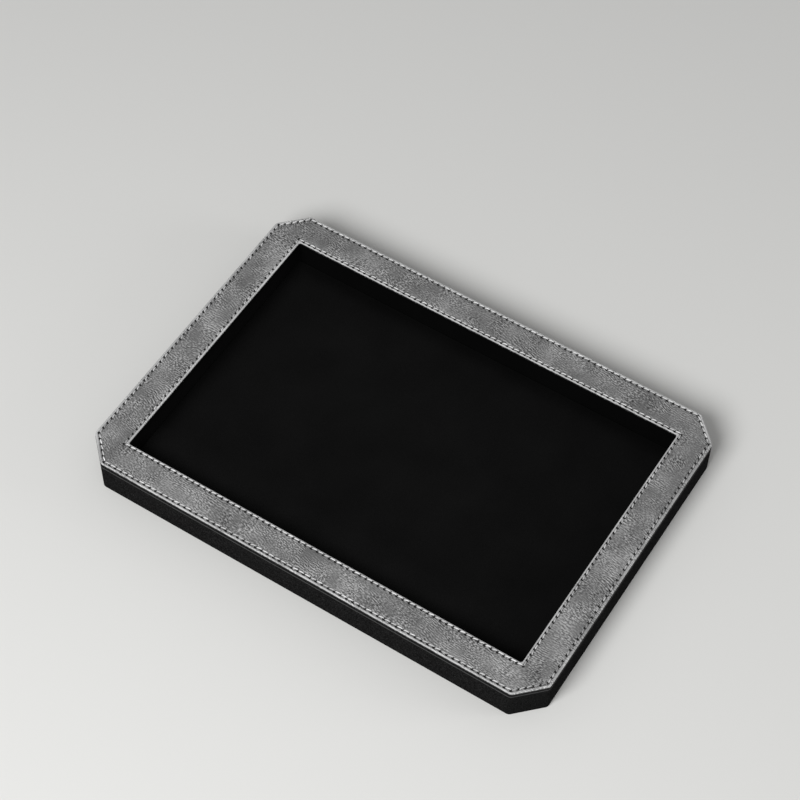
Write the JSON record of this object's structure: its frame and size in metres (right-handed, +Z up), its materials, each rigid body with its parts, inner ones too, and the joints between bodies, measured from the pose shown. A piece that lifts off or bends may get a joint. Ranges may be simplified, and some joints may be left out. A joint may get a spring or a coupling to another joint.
{
  "type": "jewelry tray",
  "caption": "Open rectangular display tray with clipped corners, a grey stitched leather rim, black leatherette sides and a black velvet-lined well for laying out jewelry.",
  "frame": {"origin": "middle of the underside, on the surface that the tray stands on", "axes": "+X along the long side, +Y from the front to the rear, +Z up out of the open side"},
  "size_m": [0.28, 0.2, 0.022],
  "materials": {
    "grey_leather": "grey distressed leather with a creased, mottled grain",
    "black_leatherette": "black fine-grained leatherette, satin",
    "velvet": "black short-pile velvet",
    "felt": "black felt sheet",
    "thread": "pale grey twisted sewing thread",
    "fibreboard": "raw medium-density fibreboard",
    "card": "grey board",
    "foam": "thin soft foam sheet",
    "steel": "bright steel"
  },
  "bodies": {
    "root": {"base_board": "fibreboard", "front_rail": "fibreboard", "rear_rail": "fibreboard", "left_rail": "fibreboard", "right_rail": "fibreboard", "corner_v_nails": "steel", "base_brads": "steel", "side_wrap": "black_leatherette", "bottom_cover": "felt", "rim_leather": "grey_leather", "rim_card": "card", "outer_stitching": "thread", "inner_stitching": "thread", "front_lining": "velvet", "rear_lining": "velvet", "left_lining": "velvet", "right_lining": "velvet", "floor_card": "card", "floor_foam": "foam", "floor_velvet": "velvet"}
  },
  "joints": []
}
